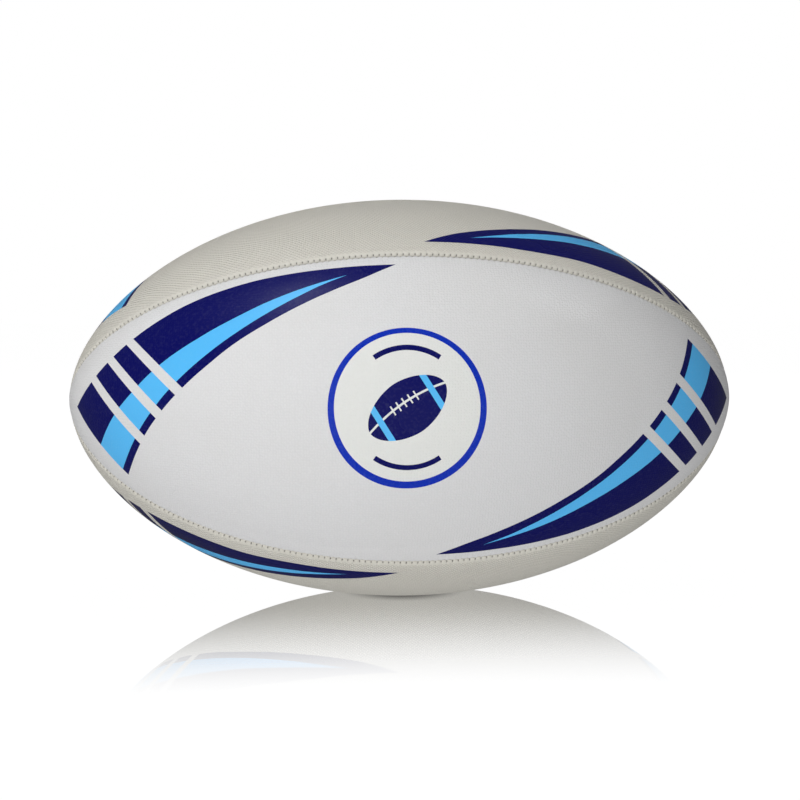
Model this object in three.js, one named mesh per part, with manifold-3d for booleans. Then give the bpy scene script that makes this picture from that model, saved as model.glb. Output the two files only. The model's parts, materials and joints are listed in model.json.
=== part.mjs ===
import * as THREE from "three";
import { mergeVertices } from "three/addons/utils/BufferGeometryUtils.js";
import Module from "manifold-3d";

// A hand-stitched four-panel rugby ball, inflated. Millimetres.
// The origin is the ball's centre, +X its long axis, and the front panel faces -Y.
// Each panel is a quarter of the ball. The four seams run from tip to tip between them.

// Driving dimensions.
const HALF_LENGTH = 147.5;
const RADIUS = 87.75;
// The outline is RADIUS * (1 - |x / HALF_LENGTH| ^ OUTLINE_P) ^ (1 / OUTLINE_Q).
// Both exponents at 2 would be an ellipse; a lower OUTLINE_Q makes the ends more pointed.
const OUTLINE_P = 2.018;
const OUTLINE_Q = 1.739;

const COVER = 1.3; // rubber cover
const BACKING = 0.9; // cotton and polyester plies bonded to the cover
const BLADDER = 0.7;
const GAP = 0.3; // between pieces that touch
const SEAM_GAP = 0.15; // from a seam's own plane to each panel
const ROLL = 2.0; // outer radius of the panel's turned-in edge
const SHARPEST_ROLL = 0.4; // the inner layers turn no tighter than this
const FLANGE = 5.5; // how deep the turned-in edges reach
const THREAD = 0.38; // radius of a seam's thread
const THREAD_DEPTH = 0.42; // from the ball's surface to the thread's middle

const VALVE_ANGLE = THREE.MathUtils.degToRad(27); // from the back panel's middle, towards the top
const VALVE_HEAD = 4.5; // radius
const VALVE_BORE = 2.5;
const VALVE_RECESS = 0.6; // of the head's flat face, below the ball's surface
const VALVE_BARREL = 5.5; // radius inside the ball
const VALVE_LENGTH = 24;
const VALVE_CHAMFER = 1.0; // at the housing's inner end
const CORE_RADIUS = VALVE_BORE - GAP;
const CORE_CHAMFER = 0.5;
const CORE_RECESS = 0.4; // of the core's face, below the head's
const NEEDLE_GUIDE_RADIUS = 0.9;
const NEEDLE_GUIDE_DEPTH = 3.5; // of its point, below the head's face
const FLANGE_RADIUS = 12;
const FLANGE_THICKNESS = 1.0;
const PATCH_RADIUS = 16;
const HOLE_PATCH = 0.5; // cloth ring inside the casing, round the valve's hole
const BLADDER_PATCH = 0.6; // rubber disc that joins the valve's flange to the bladder
const FACET_ROOM = 1.15; // lets a finely faceted patch lie inside the coarser facets of the lining

// How finely the shells and the turned parts are divided.
const STEPS_ALONG = 16;
const STEPS_ACROSS = 8; // over one panel
const TIP_RADIUS = 1.2; // where a panel's point ends
const LINING_TIP_RADIUS = 6; // where the backing's point ends
const TAPER_RADIUS = 14; // the seam edges grow thinner from here to the tips
const THREAD_SIDES = 6;
const VALVE_SEGMENTS = 24;
const CORE_SEGMENTS = 16;
const PATCH_SEGMENTS = 28;
const PATCH_RINGS = 3;
const WELD = 1e-4; // points closer than this are one point

// Depths of the layers below the ball's surface.
const BACKING_DEPTH = COVER + GAP;
const BLADDER_DEPTH = BACKING_DEPTH + BACKING + GAP;
const HOLE_PATCH_DEPTH = BACKING_DEPTH + BACKING + FACET_ROOM;
const FLANGE_DEPTH = HOLE_PATCH_DEPTH + HOLE_PATCH + GAP;
const BLADDER_PATCH_DEPTH = FLANGE_DEPTH + FLANGE_THICKNESS + GAP;
const DENT = BLADDER_PATCH_DEPTH + BLADDER_PATCH + GAP - BLADDER_DEPTH; // of the bladder, under the valve
const DENT_FLAT = 39; // the dent is level out to here, and gone at DENT_END
const DENT_END = 65;

const QUARTER = Math.PI / 2;
const EIGHTH = Math.PI / 4;
const PANELS = { front: -QUARTER, top: 0, back: QUARTER, bottom: Math.PI };

// Colours and finish of the materials.
const white = { color: 0xd6d6d7, roughness: 0.55, metalness: 0 };
const ivory = { color: 0xb9b7ab, roughness: 0.6, metalness: 0 };
const cloth = { color: 0xd9d4c4, roughness: 0.95, metalness: 0 };
const waxedThread = { color: 0xe4e2da, roughness: 0.7, metalness: 0 };
const blackRubber = { color: 0x1c1c1e, roughness: 0.8, metalness: 0 };
const paleRubber = { color: 0xa9a9a6, roughness: 0.7, metalness: 0 };

const ball = new THREE.Group();

function add(name, geometry, finish) {
  const mesh = new THREE.Mesh(geometry, new THREE.MeshStandardMaterial(finish));
  mesh.name = name;
  ball.add(mesh);
}

// The ball's radius at x, and the slope of the outline there.
function outlineAt(x) {
  const u = Math.abs(x) / HALF_LENGTH;
  const rest = 1 - u ** OUTLINE_P;
  const radius = RADIUS * rest ** (1 / OUTLINE_Q);
  const steepness = (OUTLINE_P / OUTLINE_Q) * u ** (OUTLINE_P - 1) * rest ** (1 / OUTLINE_Q - 1);
  return { radius, slope: (-Math.sign(x) * RADIUS * steepness) / HALF_LENGTH };
}

function xWhereRadiusIs(radius) {
  return HALF_LENGTH * (1 - (radius / RADIUS) ** OUTLINE_Q) ** (1 / OUTLINE_P);
}

// A point at a depth below the surface: its x and its distance from the long axis.
function below(x, depth) {
  const { radius, slope } = outlineAt(x);
  const length = Math.hypot(1, slope);
  return { x: x + (slope * depth) / length, radius: radius - depth / length };
}

// Angles are turned about the long axis, from straight up towards the back.
function place(x, radius, angle) {
  return new THREE.Vector3(x, radius * Math.sin(angle), radius * Math.cos(angle));
}

function surfacePoint(x, angle, depth) {
  const at = below(x, depth);
  return place(at.x, at.radius, angle);
}

// The places along the ball where every shell has a row of points.
function stations(tipRadii) {
  const end = Math.asin(xWhereRadiusIs(TIP_RADIUS) / HALF_LENGTH);
  const inner = [];
  for (let i = 1; i < STEPS_ALONG; i += 1) {
    inner.push(HALF_LENGTH * Math.sin(end * ((2 * i) / STEPS_ALONG - 1)));
  }
  const tips = tipRadii.map(xWhereRadiusIs);
  return [...tips.map((x) => -x).reverse(), ...inner, ...tips];
}

// How much of its full size a seam edge has where the ball is this thick.
function taper(x) {
  return Math.min(1, outlineAt(x).radius / TAPER_RADIUS);
}

// Half-angle of a quarter that keeps clear of its two seams by `inset`, at a depth.
function edgeAngle(x, inset, depth) {
  return EIGHTH - Math.asin(inset / below(x, depth).radius);
}

// One row of points across a panel, at a depth below the surface: down in the turned-in edge, over its
// roll, across the panel and back down on the other side.
function panelRow(x, middle, depth) {
  const size = taper(x);
  const roll = Math.max(ROLL - depth, SHARPEST_ROLL);
  const rolledTo = depth + roll * size;
  const bottom = Math.max(depth + (FLANGE - depth) * size, rolledTo + size);
  const mid = roll * (1 - Math.SQRT1_2);
  const edge = [
    [SEAM_GAP + depth * size, bottom],
    [SEAM_GAP + depth * size, rolledTo],
    [SEAM_GAP + (depth + mid) * size, depth + mid * size],
    [SEAM_GAP + (depth + roll) * size, depth],
  ].map(([inset, down]) => ({ angle: edgeAngle(x, inset, down), down }));
  const widest = edgeAngle(x, SEAM_GAP + (BLADDER_DEPTH + SHARPEST_ROLL) * size, 0);
  const row = edge.map(({ angle, down }) => surfacePoint(x, middle - angle, down));
  for (let k = 1; k < STEPS_ACROSS; k += 1) {
    row.push(surfacePoint(x, middle + widest * ((2 * k) / STEPS_ACROSS - 1), depth));
  }
  row.push(...edge.reverse().map(({ angle, down }) => surfacePoint(x, middle + angle, down)));
  return row;
}

// A closed solid between an outer and an inner grid of points, with walls along its four edges.
function sheet(outer, inner) {
  const rows = outer.length;
  const width = outer[0].length;
  const positions = [];
  const quad = (a, b, c, d) => [a, b, c, a, c, d].forEach((p) => positions.push(p.x, p.y, p.z));
  for (let i = 0; i + 1 < rows; i += 1) {
    for (let k = 0; k + 1 < width; k += 1) {
      quad(outer[i][k], outer[i + 1][k], outer[i + 1][k + 1], outer[i][k + 1]);
      quad(inner[i][k], inner[i][k + 1], inner[i + 1][k + 1], inner[i + 1][k]);
    }
    quad(outer[i + 1][0], outer[i][0], inner[i][0], inner[i + 1][0]);
    quad(outer[i][width - 1], outer[i + 1][width - 1], inner[i + 1][width - 1], inner[i][width - 1]);
  }
  for (let k = 0; k + 1 < width; k += 1) {
    quad(outer[0][k], outer[0][k + 1], inner[0][k + 1], inner[0][k]);
    quad(outer[rows - 1][k + 1], outer[rows - 1][k], inner[rows - 1][k], inner[rows - 1][k + 1]);
  }
  return new THREE.BufferGeometry().setAttribute(
    "position",
    new THREE.Float32BufferAttribute(positions, 3),
  );
}

// A closed solid through rings of points, with each end closed by a fan to one point.
function loft(rings, firstEnd, lastEnd) {
  const positions = [];
  const triangle = (a, b, c) => [a, b, c].forEach((p) => positions.push(p.x, p.y, p.z));
  const count = rings[0].length;
  for (let k = 0; k < count; k += 1) {
    const next = (k + 1) % count;
    for (let i = 0; i + 1 < rings.length; i += 1) {
      triangle(rings[i][k], rings[i + 1][k], rings[i + 1][next]);
      triangle(rings[i][k], rings[i + 1][next], rings[i][next]);
    }
    triangle(firstEnd, rings[0][k], rings[0][next]);
    triangle(lastEnd, rings.at(-1)[next], rings.at(-1)[k]);
  }
  return new THREE.BufferGeometry().setAttribute(
    "position",
    new THREE.Float32BufferAttribute(positions, 3),
  );
}

// Booleans, on closed geometries.
const wasm = await Module();
wasm.setup();

function solid(geometry) {
  const bare = geometry.clone();
  bare.deleteAttribute("normal");
  bare.deleteAttribute("uv");
  const merged = mergeVertices(bare, WELD);
  return new wasm.Manifold(
    new wasm.Mesh({
      numProp: 3,
      vertProperties: merged.attributes.position.array,
      triVerts: new Uint32Array(merged.index.array),
    }),
  );
}

function geometryOf(made) {
  const { vertProperties, triVerts } = made.getMesh();
  const geometry = new THREE.BufferGeometry();
  geometry.setAttribute("position", new THREE.BufferAttribute(vertProperties, 3));
  geometry.setIndex(new THREE.BufferAttribute(triVerts, 1));
  return geometry.toNonIndexed();
}

const cut = (geometry, tool) => geometryOf(solid(geometry).subtract(solid(tool)));
const join = (geometry, other) => geometryOf(solid(geometry).add(solid(other)));

// Turned shapes on the valve's axis. A profile is a list of [radius, depth below the surface].
const valveDirection = QUARTER - VALVE_ANGLE;

function turned(profile, segments) {
  const points = profile.map(([radius, depth]) => new THREE.Vector2(radius, -depth));
  const geometry = new THREE.LatheGeometry(points, segments);
  geometry.rotateX(QUARTER); // the lathe's own axis, Y, turns up to Z
  geometry.translate(0, 0, RADIUS);
  return geometry.rotateX(-valveDirection); // and then back and down to the valve
}

const ABOVE_BALL = -2; // depth at which a hole's tool begins, outside the ball

function valveHole(radius, deepest) {
  const profile = [[0, deepest], [radius, deepest], [radius, ABOVE_BALL], [0, ABOVE_BALL]];
  return turned(profile, VALVE_SEGMENTS);
}

// A round patch that follows the ball's surface round the valve, with a hole in its middle.
function patch(radius, holeRadius, depth, thickness) {
  const row = (share, down) => {
    const reach = holeRadius + (radius - holeRadius) * share;
    return Array.from({ length: PATCH_SEGMENTS }, (_, k) => {
      const turn = (2 * Math.PI * k) / PATCH_SEGMENTS;
      const aside = (reach * Math.sin(turn)) / (RADIUS - down);
      return surfacePoint(reach * Math.cos(turn), valveDirection + aside, down);
    });
  };
  const outer = [];
  const inner = [];
  for (let i = 0; i <= PATCH_RINGS; i += 1) {
    outer.push(row(i / PATCH_RINGS, depth));
    inner.push(row(i / PATCH_RINGS, depth + thickness));
  }
  const loop = [...outer, ...inner.reverse()];
  const positions = [];
  const triangle = (a, b, c) => [a, b, c].forEach((p) => positions.push(p.x, p.y, p.z));
  loop.forEach((ring, i) => {
    const after = loop[(i + 1) % loop.length];
    for (let k = 0; k < PATCH_SEGMENTS; k += 1) {
      const next = (k + 1) % PATCH_SEGMENTS;
      triangle(ring[k], after[k], after[next]);
      triangle(ring[k], after[next], ring[next]);
    }
  });
  return new THREE.BufferGeometry().setAttribute(
    "position",
    new THREE.Float32BufferAttribute(positions, 3),
  );
}

// Panels: the rubber cover and, bonded inside it, the cloth backing, each with its edges turned in.
const coverStations = stations([LINING_TIP_RADIUS, TIP_RADIUS]);
const liningStations = stations([LINING_TIP_RADIUS]);

function layer(xs, middle, depth, thickness) {
  return sheet(
    xs.map((x) => panelRow(x, middle, depth)),
    xs.map((x) => panelRow(x, middle, depth + thickness)),
  );
}

for (const [side, middle] of Object.entries(PANELS)) {
  let cover = layer(coverStations, middle, 0, COVER);
  let backing = layer(liningStations, middle, BACKING_DEPTH, BACKING);
  if (side === "back") {
    const hole = valveHole(VALVE_HEAD + GAP, HOLE_PATCH_DEPTH + GAP);
    cover = cut(cover, hole);
    backing = cut(backing, hole);
  }
  const rubber = side === "front" || side === "back" ? white : ivory;
  add(`panel_${side}`, cover, rubber);
  add(`backing_${side}`, backing, cloth);
}

// Threads: one along each seam, in the valley between the two rolled edges.
function thread(seamAngle, xs) {
  const tangent = new THREE.Vector3(0, Math.cos(seamAngle), -Math.sin(seamAngle));
  const rings = xs.map((x) => {
    const size = THREAD * taper(x);
    return Array.from({ length: THREAD_SIDES }, (_, k) => {
      const turn = (2 * Math.PI * k) / THREAD_SIDES;
      const point = surfacePoint(x, seamAngle, THREAD_DEPTH - size * Math.cos(turn));
      return point.addScaledVector(tangent, size * Math.sin(turn));
    });
  });
  const end = (ring) => {
    const middle = new THREE.Vector3();
    ring.forEach((point) => middle.addScaledVector(point, 1 / THREAD_SIDES));
    return middle;
  };
  return loft(rings, end(rings[0]), end(rings.at(-1)));
}

// Three seams are sewn from tip to tip before the ball is turned right side out. The fourth is left open
// near one tip to take the bladder, and that stretch is closed last, with a thread of its own.
const SEAMS = { top_front: -EIGHTH, top_back: EIGHTH, bottom_back: 3 * EIGHTH, bottom_front: -3 * EIGHTH };
const OPEN_STATIONS = 4; // of the seam that is closed last
const THREAD_END_GAP = 1.0; // between the ends of its two threads

for (const [name, angle] of Object.entries(SEAMS)) {
  const closedLast = name === "bottom_back";
  const xs = closedLast ? liningStations.slice(0, -OPEN_STATIONS) : liningStations;
  add(`seam_thread_${name}`, thread(angle, xs), waxedThread);
}
const closing = liningStations.slice(-OPEN_STATIONS - 1);
closing[0] += THREAD_END_GAP;
add("closing_thread", thread(SEAMS.bottom_back, closing), waxedThread);

// Bladder: it fills the casing, with a groove along each seam for the turned-in edges, and it is pressed
// in a little under the valve.
function dent(x, angle) {
  const distance = Math.hypot(x, RADIUS * (angle - valveDirection));
  return DENT * (1 - THREE.MathUtils.smoothstep(distance, DENT_FLAT, DENT_END));
}

function bladderRing(x, extra) {
  const ring = [];
  const inset = SEAM_GAP + BLADDER_DEPTH + extra;
  const bottom = FLANGE + GAP + extra;
  for (const middle of Object.values(PANELS)) {
    const push = (angle, depth) => {
      ring.push(surfacePoint(x, middle + angle, depth + dent(x, middle + angle)));
    };
    const lip = edgeAngle(x, inset, BLADDER_DEPTH);
    const floor = edgeAngle(x, inset, bottom);
    const widest = edgeAngle(x, SEAM_GAP + BLADDER_DEPTH + SHARPEST_ROLL, 0);
    ring.push(surfacePoint(x, middle - floor, bottom + dent(x, middle - floor)));
    push(-lip, BLADDER_DEPTH + extra);
    for (let k = 1; k < STEPS_ACROSS; k += 1) {
      push(widest * ((2 * k) / STEPS_ACROSS - 1), BLADDER_DEPTH + extra);
    }
    push(lip, BLADDER_DEPTH + extra);
    ring.push(surfacePoint(x, middle + floor, bottom + dent(x, middle + floor)));
  }
  return ring;
}

function bladderSkin(extra) {
  const rings = stations([]).map((x) => bladderRing(x, extra));
  const end = Math.min(...rings.at(-1).map((point) => point.x));
  return loft(rings, new THREE.Vector3(-end, 0, 0), new THREE.Vector3(end, 0, 0));
}

const hollow = cut(bladderSkin(0), bladderSkin(BLADDER));
const throughSkin = BLADDER_DEPTH + DENT + 6 * BLADDER; // well past the dented skin
const barrelRoom = valveHole(VALVE_BARREL + GAP, throughSkin);
add("bladder", cut(hollow, barrelRoom), blackRubber);

// Valve: a rubber housing with a flange, a core plug with a needle guide in its bore, and two patches.
const housing = turned(
  [
    [VALVE_BORE, VALVE_RECESS],
    [VALVE_BORE, VALVE_LENGTH],
    [VALVE_BARREL - VALVE_CHAMFER, VALVE_LENGTH],
    [VALVE_BARREL, VALVE_LENGTH - VALVE_CHAMFER],
    [VALVE_BARREL, FLANGE_DEPTH + FLANGE_THICKNESS / 2],
    [VALVE_HEAD, FLANGE_DEPTH + FLANGE_THICKNESS / 2],
    [VALVE_HEAD, VALVE_RECESS],
    [VALVE_BORE, VALVE_RECESS],
  ],
  VALVE_SEGMENTS,
);
const insideHead = VALVE_HEAD - 0.5; // so that the flange and the barrel overlap before they are joined
const flange = patch(FLANGE_RADIUS, insideHead, FLANGE_DEPTH, FLANGE_THICKNESS);
add("valve_housing", join(housing, flange), paleRubber);

const coreFace = VALVE_RECESS + CORE_RECESS;
const coreEnd = VALVE_LENGTH - 1;
const core = turned(
  [
    [0, coreEnd],
    [CORE_RADIUS - CORE_CHAMFER, coreEnd],
    [CORE_RADIUS, coreEnd - CORE_CHAMFER],
    [CORE_RADIUS, coreFace],
    [NEEDLE_GUIDE_RADIUS, coreFace],
    [0, VALVE_RECESS + NEEDLE_GUIDE_DEPTH],
  ],
  CORE_SEGMENTS,
);
add("valve_core", core, blackRubber);
add("valve_hole_patch", patch(PATCH_RADIUS, VALVE_HEAD + GAP, HOLE_PATCH_DEPTH, HOLE_PATCH), cloth);
add("valve_patch", patch(PATCH_RADIUS, VALVE_BARREL + GAP, BLADDER_PATCH_DEPTH, BLADDER_PATCH), blackRubber);

export default ball;
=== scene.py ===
import json
import math

import bpy
import numpy as np
from mathutils import Matrix, Vector


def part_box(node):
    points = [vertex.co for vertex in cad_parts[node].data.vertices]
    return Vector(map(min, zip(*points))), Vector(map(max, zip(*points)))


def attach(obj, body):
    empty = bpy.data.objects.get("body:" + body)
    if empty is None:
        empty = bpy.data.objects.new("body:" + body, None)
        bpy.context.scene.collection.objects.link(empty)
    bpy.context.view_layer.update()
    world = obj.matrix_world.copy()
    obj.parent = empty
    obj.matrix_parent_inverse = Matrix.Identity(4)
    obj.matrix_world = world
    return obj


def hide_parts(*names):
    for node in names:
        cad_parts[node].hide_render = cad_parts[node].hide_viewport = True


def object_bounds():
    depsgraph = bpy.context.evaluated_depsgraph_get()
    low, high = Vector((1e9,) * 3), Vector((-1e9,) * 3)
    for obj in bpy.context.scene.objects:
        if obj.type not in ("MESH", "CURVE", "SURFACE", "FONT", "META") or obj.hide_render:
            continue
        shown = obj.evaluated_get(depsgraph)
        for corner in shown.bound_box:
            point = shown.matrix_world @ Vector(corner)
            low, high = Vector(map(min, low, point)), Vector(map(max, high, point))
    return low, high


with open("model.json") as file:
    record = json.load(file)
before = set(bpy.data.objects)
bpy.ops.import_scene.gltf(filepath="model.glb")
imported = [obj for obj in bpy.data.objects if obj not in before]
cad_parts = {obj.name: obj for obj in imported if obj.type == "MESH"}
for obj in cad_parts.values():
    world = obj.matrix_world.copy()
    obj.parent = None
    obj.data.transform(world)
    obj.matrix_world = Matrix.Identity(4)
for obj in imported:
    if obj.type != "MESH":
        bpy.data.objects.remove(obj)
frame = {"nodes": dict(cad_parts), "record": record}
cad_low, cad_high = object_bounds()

MM = 0.001

# Outline of the ball, as in the CAD model: RADIUS * (1 - |x / HALF_LENGTH| ^ P) ^ (1 / Q).
HALF_LENGTH = (cad_high.x - cad_low.x) / 2 / MM
RADIUS = (cad_high.z - cad_low.z) / 2 / MM
OUTLINE_P = 2.018
OUTLINE_Q = 1.739

# Panels. Angles are turned about the long axis, from straight up towards the back.
PANELS = {"front": -90.0, "top": 0.0, "back": 90.0, "bottom": 180.0}
SEAMS = {"top_front": -45.0, "top_back": 45.0, "bottom_back": 135.0, "bottom_front": -135.0}
EIGHTH = math.pi / 4
COVER = 1.25  # thickness of the rubber
SEAM_GAP = 0.05  # from the seam's plane to each panel's turned-in edge
ROLL = 1.7  # radius of the turned-in edge
FLANGE = 4.6  # how deep it reaches
SMALL_EDGE_RADIUS = 12.0  # the edges grow smaller where the ball is thinner than about this
TIP_RADIUS = 0.45  # where a panel's point ends
SEAM_DIP = 0.4  # how far the seams lie below the outline
SEAM_DIP_WIDTH = 6.0

# Stitches. Those on the two sides of a seam are half a pitch apart.
PITCH = 2.37
TIP_MARGIN = 3.4  # from the last stitch to the tip, along the seam
HOLE_AT = math.radians(50)  # place of a hole on the roll: 0 is inside the seam, 90 degrees on top
HOLE_DEPTH = 0.62
HOLE_HALF_WIDTH = 0.17
HOLE_HALF_LENGTH = 0.36
WAVE = 0.08  # how far the edges push into each other between stitches
PUFF = 0.10  # how far they swell outwards there, and where and how widely along the edge's surface
PUFF_AT = 0.8 * ROLL
PUFF_REACH = 1.1
PUCKER = 0.05  # how far the panel beside a hole is pulled in, with its place and reach
PUCKER_AT = 1.9 * ROLL
PUCKER_REACH = 1.0
STITCHES_FADE = (2.0, 1.0)  # the last stitches fade out from before the tip margin to within it
THREAD = 0.21  # radius
VALLEY_SHADE = 0.28  # how much painted shade the joint gets, against 1 in a hole
VALLEY_EDGE = (0.5, 1.1)  # where that darkness ends, along the edge's surface


def smooth(value, start, end):
    """0 before start, 1 after end, and an even S between."""
    t = np.clip((value - start) / (end - start), 0, 1)
    return t * t * (3 - 2 * t)


# ---------------------------------------------------------------- the ball's outline

def meridian_points(turn):
    """x, distance from the long axis, and the outward normal there. turn runs from -pi / 2 to pi / 2."""
    x = HALF_LENGTH * np.sin(turn)
    u = np.abs(x) / HALF_LENGTH
    rest = np.maximum(1 - u**OUTLINE_P, 1e-12)
    radius = RADIUS * rest ** (1 / OUTLINE_Q)
    steep = (OUTLINE_P / OUTLINE_Q) * u ** (OUTLINE_P - 1) * rest ** (1 / OUTLINE_Q - 1)
    slope = -np.sign(x) * RADIUS / HALF_LENGTH * steep
    length = np.hypot(1, slope)
    return x, radius, -slope / length, 1 / length


TURNS = np.linspace(-math.pi / 2, math.pi / 2, 20001)
OUTLINE_X, OUTLINE_RADIUS = meridian_points(TURNS)[:2]
ARCS = np.concatenate([[0], np.cumsum(np.hypot(np.diff(OUTLINE_X), np.diff(OUTLINE_RADIUS)))])
ARCS -= ARCS[-1] / 2
HALF_SEAM = ARCS[-1]


def at_arc(arc):
    """The outline's points at distances along it, counted from the middle of the ball."""
    return meridian_points(np.interp(arc, ARCS, TURNS))


def arc_of(x):
    """The distance along the outline of a place on the long axis."""
    return np.interp(math.asin(x / HALF_LENGTH), TURNS, ARCS)


def radius_arc(radius):
    """How far along the outline from the middle the ball's radius falls to this."""
    half = len(TURNS) // 2
    return np.interp(-radius, -OUTLINE_RADIUS[half:], ARCS[half:])


def edge_size(radius):
    """The size of the turned-in edges where the ball has this radius: 1, and less towards the tips."""
    share = radius / SMALL_EDGE_RADIUS
    return share / (1 + share**4) ** 0.25


# ---------------------------------------------------------------- meshes

def mesh_object(name, points, faces, uvs=None):
    """A smooth-shaded object from points in millimetres. uvs is a dict of one (u, v) per point."""
    mesh = bpy.data.meshes.new(name)
    mesh.from_pydata((np.asarray(points) * MM).tolist(), [], faces)
    loops = np.empty(len(mesh.loops), dtype=np.int32)
    mesh.loops.foreach_get("vertex_index", loops)
    for layer, values in (uvs or {}).items():
        uv = mesh.uv_layers.new(name=layer)
        uv.data.foreach_set("uv", np.asarray(values, dtype=np.float32)[loops].ravel())
    mesh.shade_smooth()
    mesh.validate()
    obj = bpy.data.objects.new(name, mesh)
    bpy.context.scene.collection.objects.link(obj)
    return obj


def strip(row_a, row_b):
    """Faces between two rows of points. One row may have a whole number of times as many steps."""
    groups = min(len(row_a), len(row_b)) - 1
    step_a = (len(row_a) - 1) // groups
    step_b = (len(row_b) - 1) // groups
    faces = []
    for g in range(groups):
        near = row_a[g * step_a : (g + 1) * step_a + 1]
        far = row_b[g * step_b : (g + 1) * step_b + 1]
        faces.append(tuple(near) + tuple(far[::-1]))
    return faces


# ---------------------------------------------------------------- panels

# Columns of points along a seam: dense round the holes of both sides.
PHASES = (0, 0.055, 0.12, 0.25, 0.38, 0.445, 0.5, 0.555, 0.62, 0.75, 0.88, 0.945)
GROUP = 6  # columns of the edge for each column of the panel's middle
TIP_COLUMNS = 12
STITCHES = 2 * int((HALF_SEAM - TIP_MARGIN) / PITCH) + 1
FIRST_STITCH = -STITCHES / 2 * PITCH

# Rows of points of one turned-in edge, from its end inside the ball to the smooth panel. The wall is
# flat, the roll is a quarter of a circle, and the flat steps lie on the panel beyond it.
WALL_DEPTHS = (FLANGE, 3.3, 2.4)
ROLL_STEPS = 8
FLAT_STEPS = (0.35, 0.8, 1.4, 2.2, 3.3)
MIDDLE_STEPS = 28  # rows across the panel between its two edges


def edge_rows():
    """For each row: distance from the seam's plane, depth, the outward direction in those two, and length
    along the edge's surface, which is 0 where the roll begins."""
    rows = [(SEAM_GAP, depth, -1.0, 0.0, ROLL - depth) for depth in WALL_DEPTHS]
    for k in range(ROLL_STEPS + 1):
        turn = math.pi / 2 * k / ROLL_STEPS
        c, s = math.cos(turn), math.sin(turn)
        rows.append((SEAM_GAP + ROLL * (1 - c), ROLL * (1 - s), -c, -s, ROLL * turn))
    for step in FLAT_STEPS:
        rows.append((SEAM_GAP + ROLL + step, 0.0, 0.0, -1.0, ROLL * math.pi / 2 + step))
    return rows


EDGE_ROWS = edge_rows()
INNER_ROWS = (0, 3, 7, 11, 14, 16)  # the edge rows that the panel's inner side repeats


def column_arcs():
    """Places of the columns along a seam."""
    end = radius_arc(TIP_RADIUS)
    last = FIRST_STITCH + STITCHES * PITCH
    tip = np.linspace(last, end, TIP_COLUMNS + 1)
    stitched = [FIRST_STITCH + (k + phase) * PITCH for k in range(STITCHES) for phase in PHASES]
    return np.concatenate([-tip[:0:-1], stitched, tip])


def stitch_relief(arc, along_edge, shift):
    """How far an edge stands out along its own normal, how far its wall leans towards the other panel,
    and how much shade is painted into its colour in the holes and down in the seam. shift is 0 on one
    side of a seam and 0.5 on the other."""
    phase = (arc - FIRST_STITCH) / PITCH + shift
    near = (phase + 0.5) % 1 - 0.5
    last = HALF_SEAM - TIP_MARGIN
    sewn = 1 - smooth(np.abs(arc), last - STITCHES_FADE[0], last + STITCHES_FADE[1])
    turn = 2 * math.pi * near
    wave = -(np.cos(turn) + 0.2 * np.cos(3 * turn)) / 1.2
    lean = WAVE * wave * (1 - smooth(along_edge, ROLL * 0.5, ROLL * 1.3))
    hole = np.exp(-((near * PITCH / HOLE_HALF_WIDTH) ** 2))
    hole = hole * np.exp(-(((along_edge - ROLL * HOLE_AT) / HOLE_HALF_LENGTH) ** 2))
    puff = PUFF * (0.5 - 0.5 * np.cos(turn)) * np.exp(-(((along_edge - PUFF_AT) / PUFF_REACH) ** 2))
    pucker = -PUCKER * np.cos(turn) * np.exp(-(((along_edge - PUCKER_AT) / PUCKER_REACH) ** 2))
    valley = VALLEY_SHADE * (1 - smooth(along_edge, *VALLEY_EDGE))
    shade = np.maximum(np.minimum(1.5 * hole * sewn, 1), valley)
    return (puff + pucker - HOLE_DEPTH * hole) * sewn, lean * sewn, shade


def section_points(arc, across, depth, side):
    """Points at a distance from the seam's plane and a depth: x, radius and angle from the panel's middle."""
    x, radius, nx, nr = at_arc(arc)
    radius_in = radius - depth * nr
    angle = EIGHTH - np.arcsin(np.clip(across / radius_in, -1, 1))
    return x - depth * nx, radius_in, side * angle


def dip(across):
    """How far the surface lies below the outline, at a distance from a seam's plane."""
    return SEAM_DIP * np.exp(-((across / SEAM_DIP_WIDTH) ** 2))


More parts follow.
